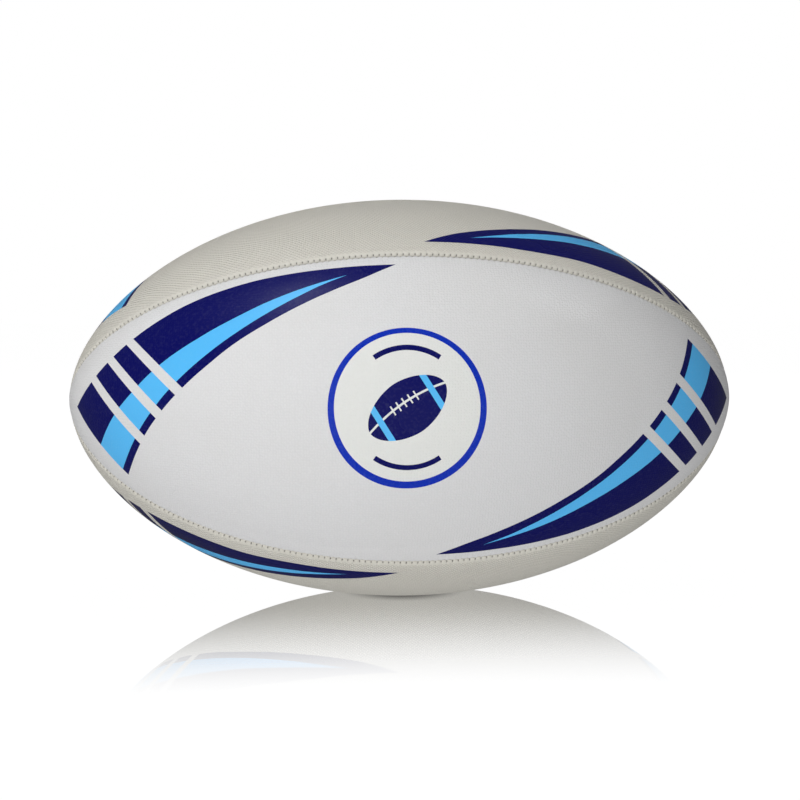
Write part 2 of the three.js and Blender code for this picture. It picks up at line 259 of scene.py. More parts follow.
class Panel:
    """Collects the rows of one panel. They are made once, for a panel centred on the top of the ball."""

    def __init__(self):
        self.arcs = column_arcs()
        self.coarse = self.arcs[::GROUP]
        self.points = []
        self.sheet = []
        self.seam = []
        self.count = 0
        outer = self.edge(-1, 0.5) + self.middle(0.0) + self.edge(1, 0.0)[::-1]
        inner = self.inner_edge(-1) + self.middle(COVER) + self.inner_edge(1)[::-1]
        edge_count = len(EDGE_ROWS)
        middles = range(edge_count, edge_count + MIDDLE_STEPS - 1)
        mirrored = [len(outer) - 1 - k for k in INNER_ROWS[::-1]]
        self.faces = self.close(outer, inner, [*INNER_ROWS, *middles, *mirrored])

    def row(self, x, radius, angle, arc, across, shade):
        """Adds a row of points, and returns their numbers."""
        self.points.append(np.stack([x, radius * np.sin(angle), radius * np.cos(angle)], 1))
        self.sheet.append(np.stack([arc, at_arc(arc)[1] * angle], 1) * MM)
        self.seam.append(np.stack([across * MM, shade], 1))
        start = self.count
        self.count += len(arc)
        return list(range(start, self.count))

    def edge(self, side, shift):
        """The outer side of a turned-in edge, with its stitching."""
        rows = []
        arc = self.arcs
        size = edge_size(at_arc(arc)[1])
        for across, depth, out_across, out_depth, along in EDGE_ROWS:
            swell, lean, shade = stitch_relief(arc, along, shift)
            w = SEAM_GAP + (across - SEAM_GAP + swell * out_across - lean) * size
            d = (depth + swell * out_depth + dip(across)) * size
            x, radius, angle = section_points(arc, w, d, side)
            rows.append(self.row(x, radius, angle, arc, w, shade))
        return rows

    def inner_edge(self, side):
        """The inner side of a turned-in edge."""
        rows = []
        arc = self.coarse
        size = edge_size(at_arc(arc)[1])
        for across, depth, out_across, out_depth, _ in (EDGE_ROWS[k] for k in INNER_ROWS):
            w = SEAM_GAP + (across - SEAM_GAP - COVER * out_across) * size
            d = (depth - COVER * out_depth + dip(across)) * size
            x, radius, angle = section_points(arc, w, d, side)
            rows.append(self.row(x, radius, angle, arc, w, np.zeros_like(arc)))
        return rows

    def middle(self, depth):
        """The panel between its two edges, at a depth below the outline."""
        rows = []
        arc = self.coarse
        x, radius, nx, nr = at_arc(arc)
        size = edge_size(radius)
        widest = SEAM_GAP + (EDGE_ROWS[-1][0] - SEAM_GAP) * size
        half = section_points(arc, widest, 0 * arc, 1)[2]
        for k in range(1, MIDDLE_STEPS):
            angle = half * (2 * k / MIDDLE_STEPS - 1)
            across = radius * np.sin(EIGHTH - np.abs(angle))
            d = (depth + dip(across)) * size
            rows.append(self.row(x - d * nx, radius - d * nr, angle, arc, across, np.zeros_like(arc)))
        return rows

    def close(self, outer, inner, matching):
        """Faces of the outer side, the inner side and the walls, with a cap at each tip."""
        loop = outer + inner[::-1] + outer[:1]
        faces = [face for a, b in zip(loop, loop[1:]) for face in strip(a, b)]
        for k in range(len(inner) - 1):
            run = outer[matching[k] : matching[k + 1] + 1]
            faces.append(tuple([r[0] for r in run] + [inner[k + 1][0], inner[k][0]]))
            faces.append(tuple([inner[k][-1], inner[k + 1][-1]] + [r[-1] for r in run[::-1]]))
        return faces

    def build(self, name, middle):
        """The panel's mesh, turned so that the panel's middle is at this angle."""
        turn = np.radians(middle)
        c, s = math.cos(turn), math.sin(turn)
        points = np.concatenate(self.points)
        y = points[:, 1] * c + points[:, 2] * s
        z = points[:, 2] * c - points[:, 1] * s
        turned = np.stack([points[:, 0], y, z], 1)
        uvs = {"sheet": np.concatenate(self.sheet), "seam": np.concatenate(self.seam)}
        return mesh_object(name, turned, self.faces, uvs)


# ---------------------------------------------------------------- threads

# One stitch of a seam's thread: share of the pitch, distance across the seam and depth. It comes up into
# a hole on one side, goes under the joint to a hole on the other, and back below.
STITCH = (
    (0.00, -0.62, 1.05),
    (0.12, -0.40, 1.50),
    (0.25, 0.00, 1.85),
    (0.38, 0.40, 1.50),
    (0.50, 0.62, 1.05),
    (0.60, 1.50, 1.60),
    (0.68, 1.45, 2.70),
    (0.75, 0.00, 3.20),
    (0.82, -1.45, 2.70),
    (0.90, -1.50, 1.60),
)
THREAD_SIDES = 8


def tube(name, path, radius, sides):
    """A closed round tube along a path of points, with its length and turn in its UVs."""
    path = np.asarray(path)
    tangent = np.gradient(path, axis=0)
    tangent /= np.linalg.norm(tangent, axis=1)[:, None]
    side = np.cross(tangent, (1.0, 0.0, 0.0))
    side /= np.linalg.norm(side, axis=1)[:, None]
    up = np.cross(side, tangent)
    length = np.concatenate([[0], np.cumsum(np.linalg.norm(np.diff(path, axis=0), axis=1))])
    turns = 2 * math.pi * np.arange(sides) / sides
    ring = side[:, None] * np.cos(turns)[None, :, None] + up[:, None] * np.sin(turns)[None, :, None]
    points = (path[:, None] + radius * ring).reshape(-1, 3)
    faces = []
    for i in range(len(path) - 1):
        for k in range(sides):
            a, b = i * sides + k, i * sides + (k + 1) % sides
            faces.append((a, b, b + sides, a + sides))
    faces.append(tuple(range(sides))[::-1])
    faces.append(tuple(range(len(points) - sides, len(points))))
    uv = np.stack([np.repeat(length, sides) * MM, np.tile(turns / (2 * math.pi), len(path))], 1)
    return mesh_object(name, points, faces, {"thread": uv})


def seam_thread(name, seam_angle, first, last):
    """The thread of the stitches from first to last of one seam."""
    path = []
    for k in range(first, last):
        for share, across, depth in STITCH:
            arc = FIRST_STITCH + (k + share) * PITCH
            x, radius, nx, nr = at_arc(arc)
            size = edge_size(radius)
            down = (depth + SEAM_DIP) * size
            radius_in = radius - down * nr
            angle = math.radians(seam_angle) + math.asin(across * size / radius_in)
            path.append((x - down * nx, radius_in * math.sin(angle), radius_in * math.cos(angle)))
    return tube(name, path, THREAD, THREAD_SIDES)


# ---------------------------------------------------------------- valve

VALVE_ANGLE = math.radians(PANELS["back"] - 27)  # from straight up
VALVE_HEAD = 4.5  # radius
VALVE_BORE = 2.5
VALVE_HOLE = VALVE_HEAD + 0.3


def lathe(name, profile, segments):
    """A solid turned about the valve's axis. Its profile is a list of radius and depth below the surface."""
    out = Vector((0, math.sin(VALVE_ANGLE), math.cos(VALVE_ANGLE)))
    along = Vector((1, 0, 0))
    aside = out.cross(along)
    points = []
    rings = []
    for radius, depth in profile:
        centre = out * (RADIUS - depth)
        if radius == 0:
            rings.append([len(points)] * segments)
            points.append(tuple(centre))
            continue
        rings.append(list(range(len(points), len(points) + segments)))
        for k in range(segments):
            turn = 2 * math.pi * k / segments
            points.append(tuple(centre + (along * math.cos(turn) + aside * math.sin(turn)) * radius))
    closed = profile[0][0] != 0
    pairs = list(zip(rings, rings[1:])) + ([(rings[-1], rings[0])] if closed else [])
    faces = []
    for low, high in pairs:
        for k in range(segments):
            n = (k + 1) % segments
            corners = [low[k], low[n], high[n], high[k]]
            faces.append(tuple(dict.fromkeys(corners)))
    return mesh_object(name, points, faces)


def rounded(profile, steps=4):
    """The profile with its corners rounded, where a corner is marked by a third value, its radius."""
    result = []
    count = len(profile)
    for k, (radius, depth, *corner) in enumerate(profile):
        here = Vector((radius, depth))
        if not corner:
            result.append((radius, depth))
            continue
        before = Vector(profile[k - 1][:2])
        after = Vector(profile[(k + 1) % count][:2])
        start = here + (before - here).normalized() * corner[0]
        end = here + (after - here).normalized() * corner[0]
        for i in range(steps + 1):
            t = i / steps
            point = start * (1 - t) ** 2 + here * 2 * t * (1 - t) + end * t * t
            result.append((point.x, point.y))
    return result


# ---------------------------------------------------------------- materials

def linear(red, green, blue):
    """A colour given as 0 to 255 on screen, turned into the linear values that shaders use."""
    def one(value):
        v = value / 255
        return v / 12.92 if v <= 0.04045 else ((v + 0.055) / 1.055) ** 2.4

    return (one(red), one(green), one(blue), 1.0)


class Nodes:
    """A material's node tree, with one short call for each kind of node that is used here."""

    def __init__(self, name):
        self.material = bpy.data.materials.new(name)
        self.material.use_nodes = True
        self.tree = self.material.node_tree
        self.tree.nodes.clear()
        self.shader = self.tree.nodes.new("ShaderNodeBsdfPrincipled")
        output = self.tree.nodes.new("ShaderNodeOutputMaterial")
        self.link(self.shader.outputs[0], output.inputs["Surface"])

    def link(self, source, socket):
        self.tree.links.new(source, socket)

    def feed(self, socket, value):
        if isinstance(value, bpy.types.NodeSocket):
            self.link(value, socket)
        elif value is not None:
            socket.default_value = value

    def make(self, kind, inputs=(), **settings):
        node = self.tree.nodes.new(kind)
        for key, value in settings.items():
            setattr(node, key, value)
        for key, value in dict(inputs).items():
            self.feed(node.inputs[key], value)
        return node

    def math(self, operation, a, b=None, c=None, clamp=False):
        node = self.make("ShaderNodeMath", operation=operation, use_clamp=clamp)
        for socket, value in zip(node.inputs, (a, b, c)):
            self.feed(socket, value)
        return node.outputs[0]

    def both(self, *masks):
        result = masks[0]
        for mask in masks[1:]:
            result = self.math("MULTIPLY", result, mask)
        return result

    def either(self, *masks):
        result = masks[0]
        for mask in masks[1:]:
            result = self.math("MAXIMUM", result, mask)
        return result

    def length(self, a, b):
        return self.math("SQRT", self.math("ADD", self.math("POWER", a, 2.0), self.math("POWER", b, 2.0)))

    def inside(self, value, low, high):
        """1 where low < value < high."""
        return self.both(self.math("GREATER_THAN", value, low), self.math("LESS_THAN", value, high))

    def ramp(self, value, start, end, low=0.0, high=1.0):
        settings = {"Value": value, "From Min": start, "From Max": end, "To Min": low, "To Max": high}
        return self.make("ShaderNodeMapRange", settings, interpolation_type="SMOOTHSTEP").outputs[0]

    def mix(self, factor, a, b):
        node = self.make("ShaderNodeMix", data_type="RGBA")
        self.feed(node.inputs[0], factor)
        self.feed(node.inputs[6], a)
        self.feed(node.inputs[7], b)
        return node.outputs[2]

    def noise(self, vector, scale, detail=2.0, roughness=0.5):
        settings = {"Vector": vector, "Scale": scale, "Detail": detail, "Roughness": roughness}
        return self.make("ShaderNodeTexNoise", settings).outputs[0]

    def uv(self, name):
        node = self.make("ShaderNodeUVMap", uv_map=name)
        parts = self.make("ShaderNodeSeparateXYZ", {"Vector": node.outputs[0]})
        return node.outputs[0], parts.outputs[0], parts.outputs[1]

    def object_place(self):
        return self.make("ShaderNodeTexCoord").outputs["Object"]

    def curve(self, value, points):
        """A smooth function through given points, held level beyond the first and last."""
        xs = [p[0] for p in points]
        ys = [p[1] for p in points]
        low_x, high_x, low_y, high_y = min(xs), max(xs), min(ys), max(ys)
        share = self.math("DIVIDE", self.math("SUBTRACT", value, low_x), high_x - low_x, clamp=True)
        node = self.make("ShaderNodeFloatCurve")
        line = node.mapping.curves[0]
        places = [((x - low_x) / (high_x - low_x), (y - low_y) / (high_y - low_y)) for x, y in points]
        line.points[0].location = places[0]
        line.points[1].location = places[-1]
        for place in places[1:-1]:
            line.points.new(*place)
        node.mapping.update()
        self.feed(node.inputs["Value"], share)
        return self.math("MULTIPLY_ADD", node.outputs[0], high_y - low_y, low_y)


NAVY = linear(10, 13, 94)
SKY = linear(90, 191, 252)
RING_BLUE = linear(16, 50, 182)
WHITE = linear(227, 227, 228)
IVORY = linear(221, 218, 209)
# Painted light: the bottom panel is the same ivory rubber as the top, given a lighter colour.
IVORY_PAINTED_LIGHTER_BELOW = linear(231, 228, 218)
BADGE_WHITE = linear(232, 233, 230)
# The colour of the shade painted into the stitch holes and down in the seam.
HOLE_SHADE = linear(48, 46, 41)
WARM = (0.99, 0.985, 0.975, 1.0)  # the cover's colour is multiplied by this where it has yellowed
SHADE_AND_DUST = 0.7  # and by this in the painted shade between the dots, and in fine dusty specks

# The printed design, on the flat sheet that a panel is cut from: millimetres along the ball from its
# middle, and across from the panel's own middle line. It is drawn for one half of a panel and repeated,
# turned half round, on the other.
OUTER_EDGE = (
    (-166, -5.5), (-161, -1.2), (-147, 10.1), (-132, 21.6), (-119.5, 30.4), (-103.5, 40.3),
    (-91, 46.8), (-73.5, 53.5), (-57, 57.9), (-30, 61.9), (-8, 63.3),
)
IVORY_OUTER_EDGE = (
    (-166, -5.5), (-147, 10.1), (-132, 23.5), (-121, 31.5), (-105, 39.9), (-90, 45.6), (-70, 51.3),
    (-50, 56.6), (-30, 59.5), (-8, 61.2),
)
SKY_OUTER = (
    (-142, -17.4), (-131.5, -3.2), (-120, 7.4), (-106, 18.6), (-85.5, 31.4), (-71.3, 39.2),
    (-57.2, 46.4), (-43.3, 52.3), (-27, 58.0),
)
SKY_INNER = (
    (-128.5, -28), (-118.5, -10.6), (-108, 2.2), (-97.8, 12.1), (-82, 24.9), (-70.3, 33.2),
    (-56.7, 42.0), (-45.3, 48.7), (-37.2, 53.2), (-27, 58.0),
)
INNER_EDGE = (
    (-126, -32), (-115, -11.6), (-105, 0.3), (-95, 9.8), (-82, 20.4), (-72.4, 27.7),
    (-58.7, 36.4), (-45.8, 43.9), (-33, 50.5), (-20, 56.8), (-8, 63.3), (12, 73.5),
)
SWOOSH_TIP = (-8.0, 63.3)
SKY_TIP = -27.0
CUT_ANGLE = math.radians(38)  # the bars are cut along parallel lines, and these are their places
BARS = ((-50.7, 999.0), (-64.1, -55.1), (-78.1, -68.5), (-99.8, -82.4))

# The badge: a ring, and in it a plain picture of a ball between two arcs.
BADGE_AT = (-5.0, 3.2)  # its middle on the front panel's sheet
BADGE_TALL = 0.965  # distances up and down are shortened by this, so it is taller than wide
RING_INNER = 27.95
RING_OUTER = 30.4
RING_SLIP = 0.42  # how much lower the middle of the ring's outer edge lies than the rest of the badge
ARC_BAND = (21.4, 23.4)  # the arcs' inner and outer radius
ARC_HALF_ANGLE = math.radians(34)
BALL_MARK = (17.0, 10.2)  # half its length and width
BALL_MARK_TILT = math.radians(33)
BALL_MARK_POWER = 1.8  # its ends are more pointed than an ellipse's
BALL_BANDS = (10.2, 12.6)  # from its middle
LACE_RISE = 2.4  # of its seam's line, at the middle
LACE_HALF_WIDTH = 0.42
LACE_TICK = (6.6, 1.9, 1.3, 0.3)  # halves: of the laced length, a tick's length, the spacing, its width

# Each panel is printed on its own, so the inner edge and the bars of each half lie a little differently:
# how far the tip is moved along and across, how many radians the edge is turned about the tip, and how
# far the cuts are moved.
IN_PLACE = ((0.0, 0.0, 0.0, 0.0), (0.0, 0.0, 0.0, 0.0))
TOP_PRINT = ((-2.3, 1.0, -0.011, 0.7), (4.1, -2.1, -0.026, 7.6))
BOTTOM_PRINT = ((0.0, -2.8, -0.068, 5.2), (3.0, -2.6, -0.027, 6.9))

GRIP_PITCH = 1.1
GRIP_DOT = (0.2, 0.52)  # a dot's flat top and its foot, as shares of the pitch
GRIP_WANDER = 1.0  # how far the rows of dots stray from straight lines
GRIP_MARGIN = (1.7, 2.5)  # the dots rise between these distances from a seam
# The turn of the rows of dots, how unevenly they are spaced, their height, and how much painted shade
# darkens the ground between them.
WHITE_GRIP = (0.0, 0.5, 0.07, 0.11)
TOP_GRIP = (EIGHTH, 0.1, 0.16, 0.4)
BOTTOM_GRIP = (EIGHTH, 0.1, 0.22, 0.75)


def print_masks(n, u, v, outer_edge, places):
    """1 where the print is, and 1 where it is sky blue. u and v are millimetres on the sheet, and places
    are how each half's inner edge and bars lie."""
    right = n.math("GREATER_THAN", u, 0.0)
    half = n.math("MULTIPLY_ADD", right, -2.0, 1.0)
    u = n.math("MULTIPLY", u, half)
    v = n.math("MULTIPLY", v, half)
    along, across, turn, cuts = (n.math("MULTIPLY_ADD", right, b - a, a) for a, b in zip(*places))
    place = n.math("MULTIPLY_ADD", v, math.cos(CUT_ANGLE), n.math("MULTIPLY", u, math.sin(CUT_ANGLE)))
    place = n.math("SUBTRACT", place, cuts)
    bars = n.either(*(n.inside(place, low, high) for low, high in BARS))
    outside = n.math("GREATER_THAN", v, n.curve(u, outer_edge))
    from_tip = n.math("SUBTRACT", n.math("SUBTRACT", u, SWOOSH_TIP[0]), along)
    below_tip = n.math("SUBTRACT", n.math("SUBTRACT", v, SWOOSH_TIP[1]), across)
    u = n.math("ADD", n.math("MULTIPLY_ADD", below_tip, turn, from_tip), SWOOSH_TIP[0])
    v = n.math("SUBTRACT", n.math("ADD", below_tip, SWOOSH_TIP[1]), n.math("MULTIPLY", from_tip, turn))
    body = n.math("SUBTRACT", n.math("GREATER_THAN", v, n.curve(u, INNER_EDGE)), outside, clamp=True)
    sky = n.both(
        n.math("LESS_THAN", v, n.curve(u, SKY_OUTER)),
        n.math("GREATER_THAN", v, n.curve(u, SKY_INNER)),
        n.math("LESS_THAN", u, SKY_TIP),
    )
    return n.both(body, bars), sky


def badge_masks(n, u, v):
    """1 on the badge's ring, on its navy parts, on its sky parts, and all over inside the ring."""
    p = n.math("SUBTRACT", u, BADGE_AT[0])
    q = n.math("MULTIPLY", n.math("SUBTRACT", v, BADGE_AT[1]), BADGE_TALL)
    distance = n.length(p, q)
    disc = n.math("LESS_THAN", distance, RING_INNER)
    round_ring = n.math("LESS_THAN", n.length(p, n.math("ADD", q, RING_SLIP)), RING_OUTER)
    ring = n.math("SUBTRACT", round_ring, disc)
    from_top = n.math("ARCTAN2", n.math("ABSOLUTE", p), n.math("ABSOLUTE", q))
    arcs = n.both(n.inside(distance, *ARC_BAND), n.math("LESS_THAN", from_top, ARC_HALF_ANGLE))
    c, s = math.cos(BALL_MARK_TILT), math.sin(BALL_MARK_TILT)
    a = n.math("MULTIPLY_ADD", q, s, n.math("MULTIPLY", p, c))
    b = n.math("MULTIPLY_ADD", p, -s, n.math("MULTIPLY", q, c))
    share = n.math(
        "ADD",
        n.math("POWER", n.math("ABSOLUTE", n.math("DIVIDE", a, BALL_MARK[0])), BALL_MARK_POWER),
        n.math("POWER", n.math("ABSOLUTE", n.math("DIVIDE", b, BALL_MARK[1])), BALL_MARK_POWER),
    )
    ball = n.math("LESS_THAN", share, 1.0)
    rest = n.math("SUBTRACT", 1.0, n.math("POWER", n.math("DIVIDE", a, BALL_MARK[0]), 2.0))
    seam_line = n.math("MULTIPLY", rest, LACE_RISE)
    offset = n.math("ABSOLUTE", n.math("SUBTRACT", b, seam_line))
    line = n.math("LESS_THAN", offset, LACE_HALF_WIDTH)
    laced, tick_length, spacing, tick_width = LACE_TICK
    ticks = n.both(
        n.math("LESS_THAN", offset, tick_length),
        n.math("LESS_THAN", n.math("ABSOLUTE", a), laced),
        n.math("LESS_THAN", n.math("PINGPONG", a, spacing), tick_width),
    )
    bands = n.inside(n.math("ABSOLUTE", a), *BALL_BANDS)
    marks = n.either(line, ticks)
    navy = n.both(ball, n.math("SUBTRACT", 1.0, n.either(marks, bands)))
    sky = n.both(ball, bands)
    return ring, n.either(navy, arcs), sky, disc


def grip_height(n, sheet, across, turn, uneven):
    """Wandering rows of small raised dots that stop short of the seams. Heights from 0 to 1."""
    bend = n.make("ShaderNodeTexNoise", {"Vector": sheet, "Scale": 75.0, "Detail": 1.0}).outputs["Color"]
    wander = (GRIP_WANDER * MM,) * 3
    bent = n.make("ShaderNodeVectorMath", {0: bend, 1: wander, 2: sheet}, operation="MULTIPLY_ADD")
    turned = n.make(
        "ShaderNodeVectorRotate",
        {"Vector": bent.outputs[0], "Angle": turn},
        rotation_type="Z_AXIS",
    )
    dots = n.make(
        "ShaderNodeTexVoronoi",
        {"Vector": turned.outputs[0], "Scale": 1 / (GRIP_PITCH * MM), "Randomness": uneven},
        voronoi_dimensions="2D",
    )
    height = n.ramp(dots.outputs["Distance"], *GRIP_DOT, 1.0, 0.0)
    margin = n.ramp(across, *(edge * MM for edge in GRIP_MARGIN))
    return n.both(height, margin)


def cover_material(name, base, outer_edge, places, dots, badge=False):
    """Pimpled rubber with its print. dots is one of the grips above."""
    rows_turn, uneven, grip_depth, ground_shade = dots
    n = Nodes(name)
    sheet, along, aside = n.uv("sheet")
    _, across, shade = n.uv("seam")
    u = n.math("MULTIPLY", along, 1 / MM)
    v = n.math("MULTIPLY", aside, 1 / MM)
    place = n.object_place()
    grip = grip_height(n, sheet, across, rows_turn, uneven)

    # The rubber itself: faint clouding, a trace of yellow, painted shade on the ground round the foot of each
    # dot, and fine dusty specks.
    cloud = n.noise(place, 18.0, 3.0)
    fine = n.noise(place, 900.0, 2.0)
    warm = tuple(c * k for c, k in zip(base, WARM))
    rubber = n.mix(n.ramp(cloud, 0.35, 0.75), base, warm)
    shade_and_dust_colour = tuple(c * SHADE_AND_DUST for c in base[:3]) + (1.0,)
    ground = n.math("SUBTRACT", 1.0, grip)
    textured = n.ramp(across, *(edge * MM for edge in GRIP_MARGIN), 0.55, 1.0)
    # Painted shade: the ground between the dots is darkened.
    rubber = n.mix(n.both(ground, textured, ground_shade), rubber, shade_and_dust_colour)
    rubber = n.mix(n.math("MULTIPLY", n.ramp(fine, 0.5, 0.8), 0.04), rubber, shade_and_dust_colour)

    # The print.
    printed, sky = print_masks(n, u, v, outer_edge, places)
    ink = n.mix(sky, NAVY, SKY)
    if badge:
        ring, mark, mark_sky, disc = badge_masks(n, u, v)
        ink = n.mix(n.either(mark, mark_sky), ink, n.mix(mark_sky, NAVY, SKY))
        ink = n.mix(ring, ink, RING_BLUE)
        printed = n.either(printed, ring, mark, mark_sky)
        rubber = n.mix(disc, rubber, BADGE_WHITE)
    thin = n.math("MULTIPLY", n.ramp(fine, 0.45, 0.75), 0.015)
    colour = n.mix(printed, rubber, n.mix(thin, ink, base))
    # Painted shade in the stitch holes and down in the seam.
    colour = n.mix(n.math("MULTIPLY", shade, 0.9), colour, HOLE_SHADE)
    n.link(colour, n.shader.inputs["Base Color"])

    # Ink is smoother than bare rubber, and nearly fills the ground between the dots, whose tops are
    # smoother than that ground.
    relief = n.math("MULTIPLY", grip, n.math("MULTIPLY_ADD", printed, -0.6, 1.0))
    rough = n.ramp(cloud, 0.3, 0.8, 0.50, 0.60)
    rough = n.math("MULTIPLY_ADD", n.both(grip, n.math("SUBTRACT", 1.0, printed)), -0.06, rough)
    rough = n.math("MULTIPLY_ADD", printed, -0.24, rough)
    n.link(rough, n.shader.inputs["Roughness"])
    n.shader.inputs["Specular IOR Level"].default_value = 0.16

    skin = n.noise(place, 2600.0, 2.0, 0.6)
    height = n.math("MULTIPLY_ADD", skin, 0.16, relief)
    height = n.math("MULTIPLY_ADD", n.noise(place, 160.0, 2.0), 0.5, height)
    bump = n.make("ShaderNodeBump", {"Height": height, "Strength": 1.0, "Distance": grip_depth * MM})
    n.link(bump.outputs[0], n.shader.inputs["Normal"])
    return n.material


def thread_material():
    """Waxed thread of twisted strands."""
    n = Nodes("waxed_thread")
    _, along, turn = n.uv("thread")
    strands = n.math("MULTIPLY_ADD", along, 1 / (0.9 * MM), turn)
    twist = n.math("PINGPONG", n.math("MULTIPLY", strands, 3.0), 1.0)
    place = n.object_place()
    cloud = n.noise(place, 300.0, 3.0)
    colour = n.mix(n.ramp(twist, 0.0, 0.7), linear(176, 170, 152), linear(232, 228, 214))
    colour = n.mix(n.math("MULTIPLY", n.ramp(cloud, 0.4, 0.7), 0.3), colour, linear(190, 184, 166))
    n.link(colour, n.shader.inputs["Base Color"])
    n.link(n.ramp(cloud, 0.3, 0.7, 0.55, 0.75), n.shader.inputs["Roughness"])
    bump = n.make("ShaderNodeBump", {"Height": twist, "Strength": 0.8, "Distance": 0.06 * MM})
    n.link(bump.outputs[0], n.shader.inputs["Normal"])
    return n.material


def rubber_material(name, colour, grain, rough):
    """Moulded or dipped rubber with a fine grain."""
    n = Nodes(name)
    place = n.object_place()
    cloud = n.noise(place, 60.0, 4.0)
    speck = n.noise(place, 1500.0, 2.0, 0.7)
    light = tuple(min(1.0, c * 1.35 + 0.01) for c in colour[:3]) + (1.0,)
    shade = n.mix(n.ramp(cloud, 0.35, 0.7), colour, light)
    dull = tuple(c * 0.8 for c in colour[:3]) + (1.0,)
    shade = n.mix(n.math("MULTIPLY", n.ramp(speck, 0.5, 0.75), 0.5), shade, dull)
    n.link(shade, n.shader.inputs["Base Color"])
    n.link(n.ramp(cloud, 0.3, 0.75, rough - 0.08, rough + 0.1), n.shader.inputs["Roughness"])
    bump = n.make("ShaderNodeBump", {"Height": speck, "Strength": 0.7, "Distance": grain * MM})
    n.link(bump.outputs[0], n.shader.inputs["Normal"])
    return n.material


def cloth_material():
    """Plain-woven cotton and polyester ply."""
    n = Nodes("backing_cloth")
    place = n.object_place()
    warp = n.make(
        "ShaderNodeTexWave", {"Vector": place, "Scale": 900.0, "Distortion": 0.6}, bands_direction="X"
    ).outputs[1]
    weft = n.make(
        "ShaderNodeTexWave", {"Vector": place, "Scale": 900.0, "Distortion": 0.6}, bands_direction="DIAGONAL"
    ).outputs[1]
    weave = n.math("MAXIMUM", warp, weft)
    cloud = n.noise(place, 40.0, 3.0)
    colour = n.mix(weave, linear(176, 168, 146), linear(226, 220, 202))
    colour = n.mix(n.math("MULTIPLY", n.ramp(cloud, 0.4, 0.7), 0.35), colour, linear(198, 186, 150))
    n.link(colour, n.shader.inputs["Base Color"])
    n.link(n.ramp(cloud, 0.3, 0.7, 0.85, 0.95), n.shader.inputs["Roughness"])
    bump = n.make("ShaderNodeBump", {"Height": weave, "Strength": 0.8, "Distance": 0.12 * MM})
    n.link(bump.outputs[0], n.shader.inputs["Normal"])
    return n.material


# ---------------------------------------------------------------- the pieces

cloth = cloth_material()
thread_finish = thread_material()
bladder_rubber = rubber_material("bladder_rubber", linear(36, 36, 39), 0.05, 0.7)
valve_rubber = rubber_material("valve_rubber", linear(176, 175, 170), 0.04, 0.55)
white_front = cover_material("white_cover_with_badge", WHITE, OUTER_EDGE, IN_PLACE, WHITE_GRIP, badge=True)
white_back = cover_material("white_cover", WHITE, OUTER_EDGE, IN_PLACE, WHITE_GRIP)
ivory_top = cover_material("ivory_cover_top", IVORY, IVORY_OUTER_EDGE, TOP_PRINT, TOP_GRIP)
# The bottom panel's lighter ivory is painted light.
ivory_bottom = cover_material("ivory_cover_bottom", IVORY_PAINTED_LIGHTER_BELOW, IVORY_OUTER_EDGE, BOTTOM_PRINT, BOTTOM_GRIP)


def finish_piece(piece, material, slot, *nodes):
    """Gives a piece its material, hangs it from the root body, and hides the CAD nodes it stands for."""
    piece.data.materials.clear()
    piece.data.materials.append(material)
    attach(piece, "root")
    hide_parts(*nodes)


def cut_valve_hole(cover):
    """Bores the valve's hole, a little wider at its mouth."""
    lip = (VALVE_HOLE + 0.15, 0.45)
    mouth = (VALVE_HOLE + 0.9, -0.6)
    profile = [(0, 4.0), (VALVE_HOLE, 4.0), (VALVE_HOLE, 0.75), lip, mouth, (0, mouth[1])]
    tool = lathe("valve_hole_tool", profile, 64)
    cut = cover.modifiers.new("valve_hole", "BOOLEAN")
    cut.operation = "DIFFERENCE"
    cut.solver = "EXACT"
    cut.object = tool
    bpy.context.view_layer.update()
    graph = bpy.context.evaluated_depsgraph_get()
    made = bpy.data.meshes.new_from_object(cover.evaluated_get(graph))
    cover.modifiers.clear()
    cover.data = made
    bpy.data.objects.remove(tool)


panel = Panel()
COVERS = {
    "front": (white_front, "white_rubber"),
    "top": (ivory_top, "ivory_rubber"),
    "back": (white_back, "white_rubber"),
    "bottom": (ivory_bottom, "ivory_rubber"),
}
for side, (material, slot_name) in COVERS.items():
    cover = panel.build(f"cover_{side}", PANELS[side])
    if side == "back":
        cut_valve_hole(cover)
    finish_piece(cover, material, slot_name, f"panel_{side}")

closing_from = arc_of(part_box("closing_thread")[0].x / MM)
closing_stitch = int((closing_from - FIRST_STITCH) / PITCH)
for seam, angle in SEAMS.items():
    last = closing_stitch if seam == "bottom_back" else STITCHES
    thread = seam_thread(f"stitching_{seam}", angle, 0, last)
    finish_piece(thread, thread_finish, "waxed_thread", f"seam_thread_{seam}")
closing = seam_thread("stitching_closing", SEAMS["bottom_back"], closing_stitch, STITCHES)
finish_piece(closing, thread_finish, "waxed_thread", "closing_thread")

HOUSING = [
    (VALVE_BORE, 0.95),
    (VALVE_BORE, 24.0),
    (4.6, 24.0, 0.4),
    (5.5, 22.6, 0.6),
    (5.5, 5.6, 0.3),
    (11.8, 6.3, 0.3),
    (11.9, 5.5, 0.3),
    (VALVE_HEAD, 4.7, 0.2),
    (VALVE_HEAD, 0.95, 0.35),
    (3.9, 0.62, 0.15),
    (3.2, 0.62, 0.15),
    (2.9, 0.95, 0.15),
]
housing = lathe("valve_body", rounded(HOUSING), 64)
finish_piece(housing, valve_rubber, "valve_rubber", "valve_housing")
CORE = [
    (0, 23.0),
    (1.7, 23.0, 0.3),
    (2.2, 22.4, 0.3),
    (2.2, 1.25, 0.3),
    (1.25, 1.1, 0.2),
    (0.75, 1.7, 0.2),
    (0.32, 2.6),
    (0.0, 3.6),
]
core = lathe("valve_plug", rounded(CORE), 48)
finish_piece(core, bladder_rubber, "bladder_rubber", "valve_core")

FINISHES = {"backing_cloth": cloth, "bladder_rubber": bladder_rubber}
for part in frame["record"]["subparts"]:
    node = frame["nodes"][part["node"]]
    if part["material_slot"] in FINISHES and not node.hide_render:
        node.data.materials.clear()
        node.data.materials.append(FINISHES[part["material_slot"]])

# ---------------------------------------------------------------- floor, light and camera

